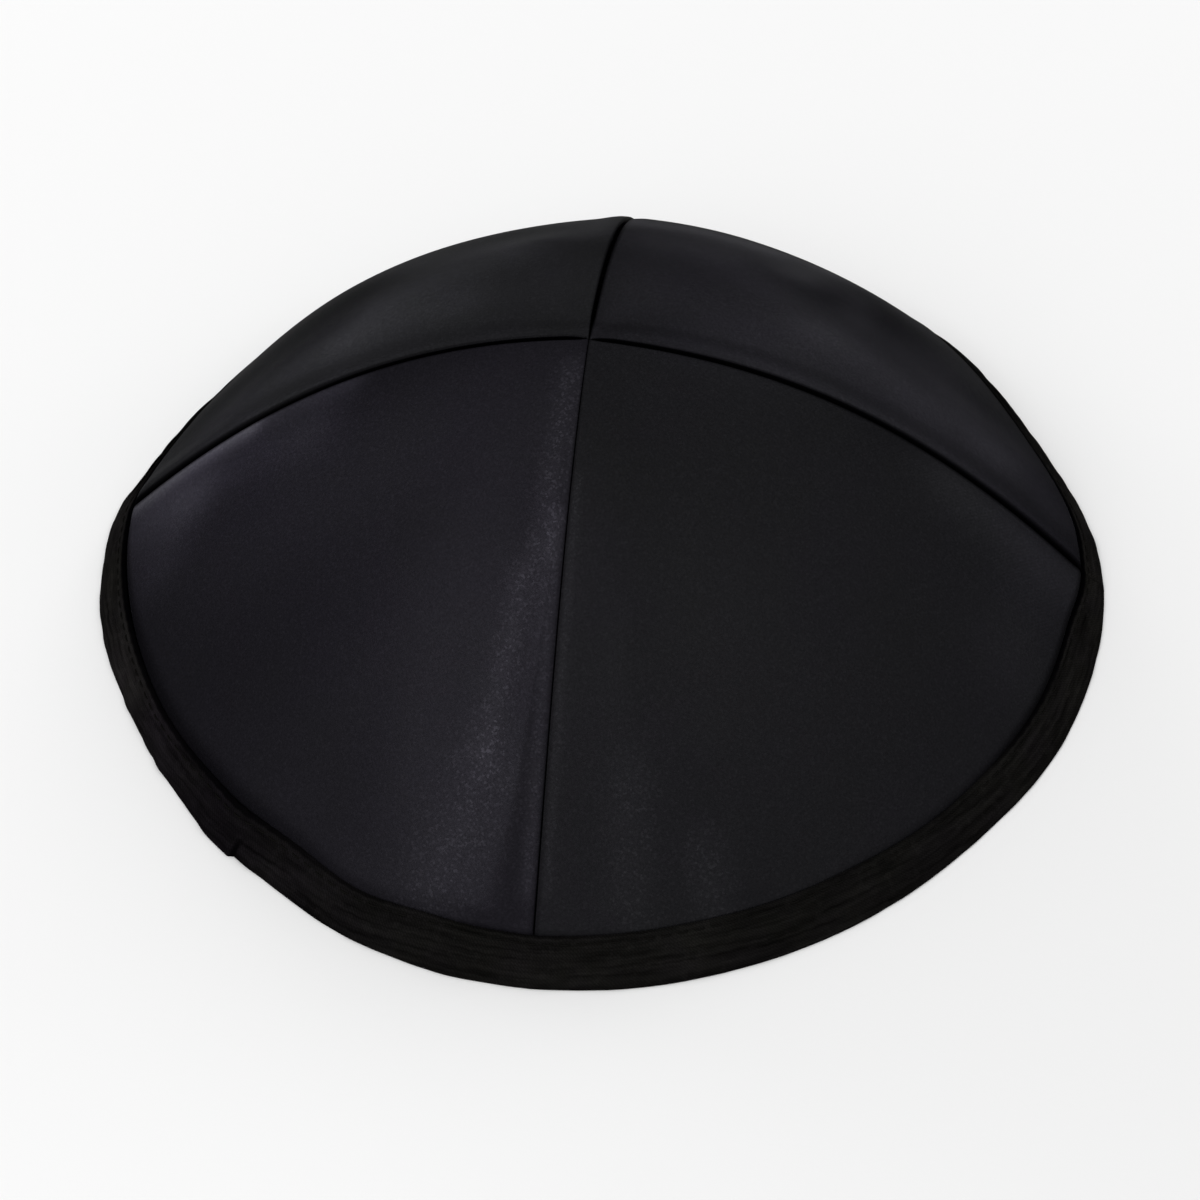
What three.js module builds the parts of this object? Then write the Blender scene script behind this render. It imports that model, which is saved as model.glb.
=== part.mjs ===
// A four-panel satin skullcap standing on its rim, in millimetres.
// +Z is up, the front seam points to -Y, and +X is the viewer's right as seen from the front.
// Four gores meet at the crown. A folded tape binds the rim, and its slot holds the panels' lower edges.
import * as THREE from "three";
import { LoftGeometry } from "three/addons/geometries/LoftGeometry.js";
import { mergeVertices } from "three/addons/utils/BufferGeometryUtils.js";

// Cap
const CROWN_HEIGHT = 51;
const PANEL_WALL = 1.3;
const CLEARANCE = 0.3;

// The four seams, each a quarter turn on from the last, starting at +X. reach is the rim's distance from the
// crown's axis. point and round are the shares of the fall from the crown that grow with the distance from the
// axis and with its square; the rest grows with the fourth power.
const SEAMS = [
  { name: "right", reach: 87.5, point: 0.12, round: 0.87 },
  { name: "back", reach: 87.0, point: 0.08, round: 0.82 },
  { name: "left", reach: 87.5, point: 0.12, round: 0.87 },
  { name: "front", reach: 88.2, point: 0.22, round: 1.0 },
];

// The four panels, each from its seam above to the next. flat is how far the rim lies inside a full round at mid
// panel, and point and round hold there. The ridges are the pressed seam allowances that show through the satin
// beside the panel's first and last seam: their height, and how far from the seam they are level again.
const PANELS = [
  { name: "panel_back_right", flat: 4.0, point: 0.21, round: 0.38, first: 0.4, firstReach: 6, last: 0, lastReach: 6 },
  { name: "panel_back_left", flat: 5.8, point: 0.21, round: 0.38, first: 0.3, firstReach: 6, last: 0.4, lastReach: 6 },
  { name: "panel_front_left", flat: 3.3, point: 0.22, round: 0.92, first: 0, firstReach: 6, last: 0.7, lastReach: 13 },
  { name: "panel_front_right", flat: 2.3, point: 0.22, round: 0.92, first: 0, firstReach: 6, last: 0, lastReach: 6 },
];
const CORNER_SHARPNESS = 1.14; // 1 gives a crease at each seam in the rim's outline, 2 a smooth bend
const SEAM_BOW = THREE.MathUtils.degToRad(0.8); // the left-right seam swings this far at half its length

// Seam edges
const LIP_DEPTH = 0.3; // each panel's edge turns down into its seam by this much
const LIP_WIDTH = 1.5;
const RIDGE_PEAK = 0.35; // share of a ridge's reach at which it is highest
const RIDGE_CROWN_FADE = 30; // ridges grow to full height over this distance from the crown
const RIDGE_RIM_FADE = 16; // and fade out over this distance above the tape

// Bias tape
const TAPE_WALL = 1.0;
const TAPE_WIDTH = 7.5; // what shows of it, from the rim up the slope
const TAPE_ROUNDING = 0.35;
const TAPE_PUFF = 0.15;
const SLOT_FLOOR = 1.1; // height of the fold's inside above the resting plane
const TOE_HEIGHT = 0.3; // the outer face turns under at this height
const SOLE_INSET = 0.1; // the flat sole starts this far below the outer face
const SOLE_DEPTH = 0.55; // and ends at this share of the bound edge's whole thickness
const VALLEY_START = 1; // the panels are at their depth in the slot up to this far above the tape
const VALLEY_WIDTH = 6; // and dip to it over this width

// The tape's upper end lies over its lower end: the step is soft on one side and sharp on the other.
const LAP = { from: 222, full: 227, hold: 233.5, end: 234.3, height: 0.6 };

// Mesh stations
const NEAR_SEAM_COLUMNS = [0, 0.9, 2.6, 5.5, 11]; // distances from a seam
const FAR_COLUMNS = 7; // from there to mid panel
const CROWN_ROWS = [0.025, 0.07, 0.14, 0.23, 0.33, 0.43, 0.53, 0.63, 0.72, 0.8, 0.86]; // shares of the reach
const VALLEY_ROWS = [14, 11.5, 9.5]; // distances up the slope from the rim
const SLOT_ROWS = [3.0, 1.8]; // heights of the panel's edge rows inside the slot
const TAPE_STATIONS = 96;

// Colours and finishes
const SATIN = { color: 0x1b1b21, roughness: 0.5, metalness: 0 };
const TAPE = { color: 0x161511, roughness: 0.75, metalness: 0 };

// Steps for slopes and normals, and the stretch above the rim that its slope is taken over
const NORMAL_TURN = THREE.MathUtils.degToRad(3);
const NORMAL_STEP = 0.02;
const FLAT_CROWN = 0.01; // nearer the axis than this share of the reach, the normal is straight up
const RIM_STRETCH = { high: 0.93, low: 0.99 };
const EDGE_ROUNDS = 5;

const QUARTER = Math.PI / 2;
const BOUND_EDGE = 2 * TAPE_WALL + 2 * CLEARANCE + PANEL_WALL;
const PANEL_DEPTH_IN_SLOT = TAPE_WALL + CLEARANCE;
const { clamp, degToRad, lerp, smoothstep } = THREE.MathUtils;

// Reach, point and round at an azimuth: eased from seam to seam, and drawn towards the panel's own at mid panel.
function outlineAt(azimuth) {
  const turn = THREE.MathUtils.euclideanModulo(azimuth, 4 * QUARTER);
  const index = Math.min(Math.floor(turn / QUARTER), 3);
  const across = turn / QUARTER - index;
  const [start, end, panel] = [SEAMS[index], SEAMS[(index + 1) % 4], PANELS[index]];
  const eased = smoothstep(across, 0, 1);
  const middle = Math.sin(Math.PI * across) ** 2;
  const blend = (key) => lerp(lerp(start[key], end[key], eased), panel[key], middle);
  const reach = lerp(start.reach, end.reach, eased) - panel.flat * Math.sin(Math.PI * across) ** CORNER_SHARPNESS;
  return { reach, point: blend("point"), round: blend("round") };
}

// A point of the cap's outer surface: share runs from 0 at the crown to 1 at the rim.
function domePoint(azimuth, share) {
  const { reach, point, round } = outlineAt(azimuth);
  const fall = point * share + round * share ** 2 + (1 - point - round) * share ** 4;
  const swing = SEAM_BOW * Math.sin(Math.PI * share) * Math.cos(azimuth) ** 2;
  return new THREE.Vector3(
    reach * share * Math.cos(azimuth + swing),
    reach * share * Math.sin(azimuth + swing),
    CROWN_HEIGHT * (1 - fall),
  );
}

// The outward normal, averaged over a few degrees so that walls keep their thickness across the seams.
function domeNormal(azimuth, share) {
  if (share < FLAT_CROWN) return new THREE.Vector3(0, 0, 1);
  const around = domePoint(azimuth + NORMAL_TURN, share).sub(domePoint(azimuth - NORMAL_TURN, share));
  const down = domePoint(azimuth, share + NORMAL_STEP).sub(domePoint(azimuth, share - NORMAL_STEP));
  return down.cross(around).normalize();
}

// A point at a depth below the outer surface.
function wallPoint(azimuth, share, depth) {
  return domePoint(azimuth, share).addScaledVector(domeNormal(azimuth, share), -depth);
}

// A point at a depth below the outer surface and at a height above the resting plane, near the rim.
function edgePoint(azimuth, height, depth) {
  let share = 1;
  for (let round = 0; round < EDGE_ROUNDS; round += 1) {
    const here = wallPoint(azimuth, share, depth).z;
    const slope = (wallPoint(azimuth, share + NORMAL_STEP, depth).z - here) / NORMAL_STEP;
    share += (height - here) / slope;
  }
  return wallPoint(azimuth, share, depth);
}

// Slope length from the crown to the rim for each unit of share, taken just above the rim.
function slopeLength(azimuth) {
  const { high, low } = RIM_STRETCH;
  return domePoint(azimuth, low).distanceTo(domePoint(azimuth, high)) / (low - high);
}

// How far the satin stands over a pressed allowance, at a distance from the seam.
function ridgeHeight(height, reach, distance) {
  const along = distance / reach;
  const rise = smoothstep(along, 0, RIDGE_PEAK);
  const fade = 1 - smoothstep(along, RIDGE_PEAK, 1);
  return height * rise * fade;
}

// How far a panel lies below the cap's outer surface beside the tape and inside its slot.
function valleyDepth(aboveRim) {
  const above = aboveRim - TAPE_WIDTH - VALLEY_START;
  return PANEL_DEPTH_IN_SLOT * (1 - smoothstep(above, 0, VALLEY_WIDTH));
}

// How far a panel's outer face stands out beside its two seams: ridges up, and lips turned down.
function seamRelief(panel, distances, fromAxis, aboveRim) {
  const [toFirst, toLast] = distances;
  const ridges =
    ridgeHeight(panel.first, panel.firstReach, toFirst) + ridgeHeight(panel.last, panel.lastReach, toLast);
  const above = aboveRim - TAPE_WIDTH;
  const ridgeFade = smoothstep(fromAxis, 0, RIDGE_CROWN_FADE) * smoothstep(above, LIP_WIDTH, RIDGE_RIM_FADE);
  const lip = LIP_DEPTH * (1 - smoothstep(Math.min(toFirst, toLast), 0, LIP_WIDTH));
  return ridges * ridgeFade - lip * smoothstep(above, 0, 2 * LIP_WIDTH);
}

// Azimuths of the columns across a panel at one row, from its first seam to its last. Columns near the seams keep
// their distance to them, and close up towards the crown.
function columnAzimuths(index, fromAxis) {
  const inset = Math.asin(clamp(CLEARANCE / 2 / fromAxis, 0, Math.SQRT1_2));
  const half = (QUARTER / 2 - inset) * fromAxis;
  const last = NEAR_SEAM_COLUMNS.at(-1);
  const squeeze = Math.min(1, half / (2 * last));
  const near = NEAR_SEAM_COLUMNS.map((distance) => distance * squeeze);
  const far = Array.from({ length: FAR_COLUMNS }, (_, i) => lerp(near.at(-1), half, (i + 1) / FAR_COLUMNS));
  const firstHalf = [...near, ...far].map((distance) => index * QUARTER + inset + distance / fromAxis);
  const mirror = (azimuth) => (2 * index + 1) * QUARTER - azimuth;
  return [...firstHalf, ...firstHalf.slice(0, -1).reverse().map(mirror)];
}

// One row of a panel, as a closed ring: over the outer face, and back under the inner face.
function panelRing(index, fromAxis, outerPoint, innerPoint) {
  const azimuths = columnAzimuths(index, fromAxis);
  const outer = azimuths.map(outerPoint);
  const inner = azimuths.map(innerPoint);
  return [...outer.reverse(), ...inner];
}

// A closed body from rings whose ends are pinched shut, or meet. Faces that the pinching closes up are left out.
function loftedBody(rings) {
  const loft = new LoftGeometry(rings);
  const bare = new THREE.BufferGeometry();
  bare.setAttribute("position", loft.getAttribute("position"));
  bare.setIndex(loft.getIndex());
  const merged = mergeVertices(bare);
  const corners = [];
  for (let i = 0; i < merged.index.count; i += 3) {
    const face = [0, 1, 2].map((k) => merged.index.getX(i + k));
    if (new Set(face).size === 3) corners.push(...face);
  }
  merged.setIndex(corners);
  merged.computeVertexNormals();
  return merged;
}

// A gore: it starts as a point beside the crown's axis, and ends as a rounded edge inside the tape's slot.
function panelGeometry(index) {
  const panel = PANELS[index];
  const [start, end] = [index * QUARTER, (index + 1) * QUARTER];
  const middle = (start + end) / 2;
  const tip = (CLEARANCE / 2) * Math.SQRT2;
  const tipShare = tip / outlineAt(middle).reach;
  const rings = [
    panelRing(
      index,
      tip,
      () => wallPoint(middle, tipShare, LIP_DEPTH),
      () => wallPoint(middle, tipShare, PANEL_WALL),
    ),
  ];
  const addWallRow = (shareAt) => {
    const fromAxis = shareAt(middle) * outlineAt(middle).reach;
    const point = (azimuth, isOuter) => {
      const share = shareAt(azimuth);
      const aboveRim = (1 - share) * slopeLength(azimuth);
      const distances = [azimuth - start, end - azimuth].map((turn) => turn * fromAxis);
      const face = isOuter ? -seamRelief(panel, distances, fromAxis, aboveRim) : PANEL_WALL;
      return wallPoint(azimuth, share, valleyDepth(aboveRim) + face);
    };
    rings.push(
      panelRing(
        index,
        fromAxis,
        (azimuth) => point(azimuth, true),
        (azimuth) => point(azimuth, false),
      ),
    );
  };
  CROWN_ROWS.forEach((share) => addWallRow(() => share));
  VALLEY_ROWS.forEach((up) => addWallRow((azimuth) => 1 - up / slopeLength(azimuth)));
  const rimRadius = outlineAt(middle).reach;
  const depth = PANEL_DEPTH_IN_SLOT;
  SLOT_ROWS.forEach((height) => {
    rings.push(
      panelRing(
        index,
        rimRadius,
        (azimuth) => edgePoint(azimuth, height, depth),
        (azimuth) => edgePoint(azimuth, height, depth + PANEL_WALL),
      ),
    );
  });
  const edge = (azimuth) => edgePoint(azimuth, SLOT_FLOOR + CLEARANCE, depth + PANEL_WALL / 2);
  rings.push(panelRing(index, rimRadius, edge, edge));
  return loftedBody(rings);
}

// How far the tape stands out where its ends lie over each other.
function lapHeight(degrees) {
  const rise = smoothstep(degrees, LAP.from, LAP.full);
  const drop = 1 - smoothstep(degrees, LAP.hold, LAP.end);
  return LAP.height * rise * drop;
}

// The tape's section at one azimuth: down the outer face, over the sole, up the inner face, and round the slot.
function tapeSection(degrees) {
  const azimuth = degToRad(degrees);
  const lap = lapHeight(degrees);
  const top = domePoint(azimuth, 1 - TAPE_WIDTH / slopeLength(azimuth)).z;
  const at = (height, depth) => edgePoint(azimuth, height, depth);
  return [
    at(top, TAPE_ROUNDING - lap),
    at(top - TAPE_ROUNDING, -lap),
    at(top / 2, -TAPE_PUFF - lap),
    at(TOE_HEIGHT, -lap),
    at(0, SOLE_INSET - lap),
    at(0, BOUND_EDGE * SOLE_DEPTH),
    at(SLOT_FLOOR, BOUND_EDGE),
    at(top / 2, BOUND_EDGE),
    at(top - TAPE_ROUNDING, BOUND_EDGE),
    at(top, BOUND_EDGE - TAPE_ROUNDING),
    at(top, BOUND_EDGE - TAPE_WALL),
    at(SLOT_FLOOR, BOUND_EDGE - TAPE_WALL),
    at(SLOT_FLOOR, TAPE_WALL),
    at(top, TAPE_WALL),
  ];
}

// The binding: the section carried once round the rim, with closer stations at the lap's sharp side.
function bindingGeometry() {
  const spacing = 360 / TAPE_STATIONS;
  const even = Array.from({ length: TAPE_STATIONS }, (_, i) => i * spacing);
  const clearOfLap = even.filter((degrees) => Math.abs(degrees - LAP.end) > spacing / 2);
  const stations = [...clearOfLap, LAP.hold, LAP.end].sort((a, b) => a - b);
  return loftedBody([...stations, 360].map(tapeSection));
}

function named(name, geometry, material) {
  const mesh = new THREE.Mesh(geometry, material);
  mesh.name = name;
  return mesh;
}

const group = new THREE.Group();
PANELS.forEach((panel, index) => {
  group.add(named(panel.name, panelGeometry(index), new THREE.MeshStandardMaterial(SATIN)));
});
group.add(named("rim_binding", bindingGeometry(), new THREE.MeshStandardMaterial(TAPE)));

// The origin is under the middle of the rim's length from front to back.
const reachOf = (name) => SEAMS.find((seam) => seam.name === name).reach;
group.position.y = (reachOf("front") - reachOf("back")) / 2;

export default group;
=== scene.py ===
"""A four-panel satin skullcap with a bias-bound rim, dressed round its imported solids.

Lengths are in metres and angles in radians unless a name ends in _mm or _deg. +Z is up, the front seam
points to -Y, and +X is the viewer's right as seen from the front.
"""

import math
from collections import namedtuple

import bmesh
import bpy
import numpy as np
from mathutils import Matrix, Vector


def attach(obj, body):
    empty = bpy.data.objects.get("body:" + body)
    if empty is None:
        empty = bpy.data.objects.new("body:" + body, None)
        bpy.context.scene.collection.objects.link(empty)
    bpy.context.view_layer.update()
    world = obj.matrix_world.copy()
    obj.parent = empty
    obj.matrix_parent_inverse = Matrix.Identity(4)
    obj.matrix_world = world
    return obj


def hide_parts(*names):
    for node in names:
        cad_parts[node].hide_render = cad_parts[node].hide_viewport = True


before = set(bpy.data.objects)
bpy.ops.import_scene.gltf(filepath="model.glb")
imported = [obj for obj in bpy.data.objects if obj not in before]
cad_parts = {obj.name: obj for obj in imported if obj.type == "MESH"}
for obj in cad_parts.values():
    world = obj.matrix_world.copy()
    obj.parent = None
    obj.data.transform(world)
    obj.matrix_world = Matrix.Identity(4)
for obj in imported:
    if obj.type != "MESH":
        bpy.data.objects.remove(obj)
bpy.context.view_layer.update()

bl_info = {
    "name": "Satin skullcap",
    "version": (1, 0, 0),
    "blender": (4, 5, 0),
    "location": "3D View > Sidebar > Cap",
    "description": "Sews a four-panel satin cap, binds its rim and sets up a studio round it",
    "category": "Add Mesh",
}

MM = 0.001
TAU = 2 * math.pi
QUARTER = math.pi / 2


def table(columns, *rows):
    """Rows with named columns. One whose name ends in _mm is kept in metres, under its name without that."""
    names = columns.split()
    kind = namedtuple("Row", [name.removesuffix("_mm") for name in names])
    scales = [MM if name.endswith("_mm") else None for name in names]
    return [
        kind(*(value if scale is None else np.multiply(value, scale) for value, scale in zip(row, scales)))
        for row in rows
    ]


# The four seams, each a quarter turn on from the last, starting at +X. reach is the rim's distance from the
# crown's axis. point and round are the shares of the fall from the crown that grow with the distance from
# the axis and with its square; the rest grows with the fourth power. groove is the width of the open line
# between the two rolled edges, which grows to rim_groove near the rim. It is shut up to one distance from
# the crown and fully open from another. roll is how far the edges round down into it, next to the full
# radius. dark is how dark the painted shade of its line is, and over and under are how far painted shade
# reaches beside it at the rim: on the side that lies over the allowances, and on the side that comes out
# from under them.
SEAMS = table(
    "name reach_mm point round groove_mm rim_groove_mm shut_until_mm open_from_mm roll dark over_mm under_mm",
    ("right", 87.5, 0.12, 0.87, 0.46, 0.60, 0.0, 2, 1.0, 0.95, 0.80, 1.30),
    ("back", 87.0, 0.08, 0.82, 0.45, 0.55, 1.0, 6, 1.0, 1.0, 1.10, 1.50),
    ("left", 87.5, 0.12, 0.87, 0.44, 1.05, 0.0, 2, 1.0, 1.0, 1.25, 1.10),
    ("front", 88.2, 0.22, 1.00, 0.08, 0.14, 1.0, 10, 0.5, 0.5, 1.00, 1.00),
)
GROOVE_GROWS_FROM = 0.55  # the share of the way to the rim from which a groove widens
SHADE_AT_CROWN = 0.3  # how far painted shade reaches beside a seam at the crown, next to the rim
WIDEST_TURN = math.sqrt(0.4)  # near the crown, the sine of the turn from a seam to its rolled edge ends here

# The four gores, each from its seam above to the next. flat is how far the rim lies inside a full round at
# mid gore, point and round hold there, and violet is how violet the satin's cast is on that side.
GORES = table(
    "name flat_mm point round violet",
    ("back_right", 4.0, 0.21, 0.52, 0.55),
    ("back_left", 5.8, 0.21, 0.44, 0.12),
    ("front_left", 3.3, 0.22, 0.92, 1.00),
    ("front_right", 2.3, 0.22, 0.92, 0.28),
)
CORNER_SHARPNESS = 1.14  # 1 gives a crease at each seam in the rim's outline, 2 a smooth bend
SEAM_BOW = math.radians(0.8)  # the left-right seam swings this far round at half its length
SEAM_BACK = math.radians(2.2)  # both its halves bend back by this, times a sine and what is left of the slope

# Seam allowances pressed to one side, which lift the satin beside a seam into a ridge: the step at the
# seam, the ridge's height, where it is highest and where it is level again near the crown and near the rim,
# and the distance from the crown over which it rises.
RIDGES = table(
    "gore seam step_mm height_mm crown_peak_mm rim_peak_mm crown_reach_mm rim_reach_mm rise_mm",
    ("front_left", "front", 0.10, 1.00, 1.0, 9.0, 5, 20, 60),
    ("back_right", "right", 0.28, 0.40, 1.6, 1.8, 6, 7, 4),
    ("back_left", "left", 0.28, 0.40, 1.6, 1.8, 6, 7, 4),
    ("back_left", "back", 0.15, 0.30, 1.6, 1.8, 6, 7, 12),
)

# The satin's dip towards a seam that it comes out from: its depth at the seam near the rim, and its width.
DIPS = table(
    "gore seam depth_mm width_mm",
    ("front_right", "right", 0.30, 4.0),
    ("back_right", "back", 0.28, 2.6),
)
DIP_RISE = 70 * MM  # the distance from the crown over which a dip deepens
DIP_AT_CROWN = 0.35  # its share at the crown
SWELL_FADE = 2.6 * MM  # swells fade out over this distance towards a seam
RIM_FADE = 4 * MM  # all relief fades out over this distance towards the tape

# Soft swells in the satin: a straight crest seen from above, its ends, height and half width.
SWELLS = table(
    "gore start_mm end_mm height_mm width_mm",
    ("back_left", (-58, 10), (-12, 32), 0.8, 7),
    ("back_right", (36, 20), (70, 15), 0.6, 6),
    ("back_right", (14, 48), (42, 50), 0.2, 6),
    ("front_left", (-22, -64), (-14, -77), 0.5, 8),
    ("front_right", (12, -44), (15, -78), 0.35, 4),
    ("front_right", (24, -58), (31, -74), 0.35, 5),
)

# Painted highlights on the satin, each a straight mark seen from above: its ends, how much brighter it is
# painted than plain satin, its half width, and how much of that is painted as glitter.
PAINTED_HIGHLIGHTS = table(
    "gore start_mm end_mm height width_mm glitter",
    ("back_left", (-8, 18), (-62, 4), 1.0, 18, 0),
    ("back_left", (-80, 5), (-46, 12), 0.8, 6, 0),
    ("back_left", (-38, 20), (-18, 30), 1.4, 6, 0),
    ("back_left", (-34, 36), (-4, 40), 1.6, 7, 0),
    ("back_left", (-40, 11), (-24, 14), 0.8, 6, 0),
    ("back_left", (-10, 50), (-3, 47), 0.9, 5, 0),
    ("back_right", (6, 20), (60, 8), 0.7, 16, 0),
    ("back_right", (20, 34), (36, 22), 0.8, 7, 0),
    ("back_right", (32, 40), (36, 50), 2.0, 5, 0),
    ("back_right", (42, 20), (54, 12), 0.5, 6, 0),
    ("back_right", (52, 26), (60, 34), 0.9, 8, 0),
    ("back_right", (8, 38), (24, 44), 1.3, 8, 0),
    ("back_right", (2, 50), (26, 50), 2.4, 5, 0),
    ("back_right", (42, 30), (42, 42), 0.8, 4, 0),
    ("back_right", (60, 20), (66, 14), 1.1, 6, 0),
    ("back_right", (70, 22), (78, 10), 0.6, 6, 0),
    ("front_left", (-82, -1), (-58, -0.5), 4.4, 3, 0),
    ("front_left", (-75, -6), (-68, -10), 1.4, 6, 0),
    ("front_left", (-80, -9), (-72, -19), 0.7, 6, 0),
    ("front_left", (-68, -7), (-46, -8), 0.7, 6, 0),
    ("front_left", (-52, 0), (-40, 0), 1.2, 3.5, 0),
    ("front_left", (-2, -6), (-3, -34), 0.45, 2.4, 1),
    ("front_left", (-1.4, -30), (-1.4, -76), 0.6, 1.2, 0.4),
    ("front_left", (-5.5, -38), (-9, -60), 0.4, 2.8, 1),
    ("front_left", (-9, -64), (-15, -76), 0.35, 6, 1),
    ("front_left", (-10, -14), (-60, -22), 0.3, 12, 0),
    ("front_right", (80, -4), (60, -2), 0.6, 7, 0),
    ("front_right", (75, -10), (70, -26), 0.25, 7, 0),
    ("front_right", (13, -62), (15, -78), 0.25, 3.5, 1),
    ("front_right", (24, -69), (27, -76), 0.25, 3.5, 1),
    ("front_right", (1, -24), (1.5, -76), 0.2, 0.8, 1),
)
PAINTED_HIGHLIGHT_FULL = 6.0  # the mesh's painted highlight mark is 1 where the satin is painted this much brighter
WHITENS = 0.7  # the share of the violet cast that is lost under a painted highlight

# How the tape's upper edge meets the satin round the rim: the open gap beside the edge, how far the satin
# rounds down into it, how far the tape's edge lies under the cap's full outline, the height of the tape's
# puckers, how much wider the tape shows than its own width, how far the rim leans out, and how dark the
# gap's painted shade is.
EDGES = table(
    "azimuth_deg gap_mm rounding_mm sunk_mm pucker_mm wider_mm lean_mm dark",
    (0, 0.40, 2.0, 0.10, 0.10, -1.8, 0.12, 1.0),
    (8, 0.42, 2.2, 0.10, 0.10, -2.5, 0.5, 1.0),
    (22, 0.45, 2.2, 0.10, 0.10, -1.3, 0.0, 1.0),
    (45, 0.50, 2.2, 0.10, 0.08, 1.2, 2.55, 1.0),
    (72, 0.50, 2.4, 0.10, 0.08, -0.4, 2.7, 1.0),
    (95, 0.50, 2.4, 0.10, 0.08, -1.7, 0.8, 1.0),
    (138, 0.55, 2.4, 0.10, 0.10, -0.2, 2.7, 1.0),
    (160, 0.60, 2.2, 0.10, 0.10, -0.8, 0.15, 1.0),
    (171, 0.65, 2.0, 0.08, 0.12, -3.0, -0.55, 1.0),
    (181, 0.68, 2.2, 0.05, 0.16, -1.5, -0.05, 1.0),
    (194, 0.60, 3.0, 0.05, 0.20, -0.5, 0.4, 1.0),
    (213, 0.25, 4.4, 0.08, 0.28, -1.7, -0.55, 0.9),
    (229, 0.15, 4.4, 0.12, 0.28, -0.6, -0.25, 0.8),
    (240, 0.10, 3.6, 0.18, 0.24, 0.0, -0.4, 0.6),
    (250, 0.10, 2.4, 0.24, 0.20, -0.3, 0.3, 0.5),
    (260, 0.15, 1.6, 0.28, 0.16, 0.6, 0.2, 0.5),
    (270, 0.22, 1.4, 0.28, 0.14, 0.3, -0.5, 0.6),
    (284, 0.06, 0.9, 0.20, 0.12, 0.9, 0.05, 0.2),
    (302, 0.05, 0.9, 0.20, 0.12, 0.7, 0.3, 0.1),
    (320, 0.06, 1.2, 0.20, 0.14, -0.4, 0.0, 0.2),
    (336, 0.22, 2.2, 0.18, 0.14, -0.2, 0.6, 0.9),
    (350, 0.34, 2.2, 0.14, 0.12, 0.1, 0.3, 1.0),
)

# Tones round the rim: how light the tape is painted next to its plain colour, as painted light and shade,
# how dark the tape's painted shadow is on the satin above the gap, how far up the slope that goes, and how
# violet the tape's cast is.
TONES = table(
    "azimuth_deg tape shade reach_mm violet",
    (0, 1.30, 0.4, 2.0, 0.2),
    (12, 1.30, 0.8, 1.5, 0.2),
    (22, 1.10, 1.0, 2.8, 0.3),
    (30, 0.40, 1.0, 4.2, 0.3),
    (45, 0.30, 1.0, 6.0, 0.3),
    (90, 0.60, 1.0, 4.0, 0.3),
    (140, 0.25, 1.0, 6.0, 0.3),
    (160, 0.20, 1.0, 4.0, 0.3),
    (170, 0.25, 1.0, 2.5, 0.3),
    (179, 1.45, 0.6, 1.5, 0.3),
    (190, 1.35, 0.45, 3.0, 0.3),
    (206, 1.75, 0.45, 4.5, 0.5),
    (216, 1.30, 0.45, 4.5, 0.8),
    (226, 0.85, 0.45, 4.5, 0.9),
    (233, 0.68, 0.40, 4.5, 0.9),
    (240, 1.00, 0.30, 4.0, 0.7),
    (248, 0.85, 0.15, 3.0, 0.5),
    (262, 1.00, 0.0, 3.0, 0.15),
    (280, 1.10, 0.0, 2.0, 0.1),
    (296, 0.93, 0.0, 2.0, 0.2),
    (320, 0.97, 0.3, 2.5, 0.25),
    (336, 1.05, 0.40, 2.5, 0.25),
    (350, 1.15, 0.40, 2.5, 0.2),
)
TONE_FULL = 2.0  # the mesh's mark is 1 where the tape is painted this many times as light
SHADE_FULL_TO = 0.3  # the tape's painted shadow on the satin above the gap is full up to this share of its reach

# Puckers across the tape: length of each wave along the rim, share of the height, slant and phase.
PUCKERS = table(
    "length_mm share slant phase",
    (5.3, 0.30, 0.9, 0.4),
    (8.1, 0.45, 0.7, 2.1),
    (13.0, 0.60, -0.5, 4.4),
    (29.0, 0.45, 0.3, 1.2),
)
CREASE_SOFTNESS = 0.02
PUCKER_START, PUCKER_END, PUCKER_FADE = 0.10, 1.02, 0.25  # shares of the way down the tape's face

# Depths at which painted shade starts, and over which it grows black: in the satin's seams, in the satin
# beside the tape, and over the tape's edge.
SEAM_SHADE = (0.05 * MM, 0.16 * MM)
VALLEY_SHADE = (0.75 * MM, 0.45 * MM)
TAPE_SHADE = (0.04 * MM, 0.16 * MM)
EDGE_ROLL = 0.32 * MM  # the tape's edge rolls over within this much of its top
OUTER_FACE = (0.5 * MM, 0.5 * MM)  # the tape's outer face fades out from this depth on, over this much

# The tape's upper end lies over its lower end in a step: where its soft side and its sharp side start, and
# how wide they are. Towards the tape's top it loses a share, from a share of the height on and over another.
LAP_RISE_DEG = (225.0, 6.0)
LAP_DROP_DEG = (233.6, 0.8)
LAP_LOSES = 0.6
LAP_FADE = (0.45, 0.4)
LAP_STATIONS = 16

# Mesh stations: the rows of a gore from the crown to near the tape and then from high over its edge to low
# in its slot, the columns of half a gore, and the sections of the tape.
CROWN_ROWS = 84
ROWS_AT_TAPE = table("high_mm low_mm count", (9.5, 2.9, 9), (2.7, -0.3, 26), (-0.7, -2.9, 5))
HALF_COLUMNS = 76
TAPE_STATIONS = 1560
STITCH_SIDES = 6

# The camera stands where the photograph was taken from.
VIEW_AZIMUTH = math.radians(8.12)
VIEW_ELEVATION = math.radians(47.32)
VIEW_ROLL = math.radians(2.12)
VIEW_DISTANCE = 379.5 * MM
PICTURE_PIXELS = 1200
FOCAL_PIXELS = 2169
CENTRE_PIXELS = (597.5, 554.4)

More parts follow.
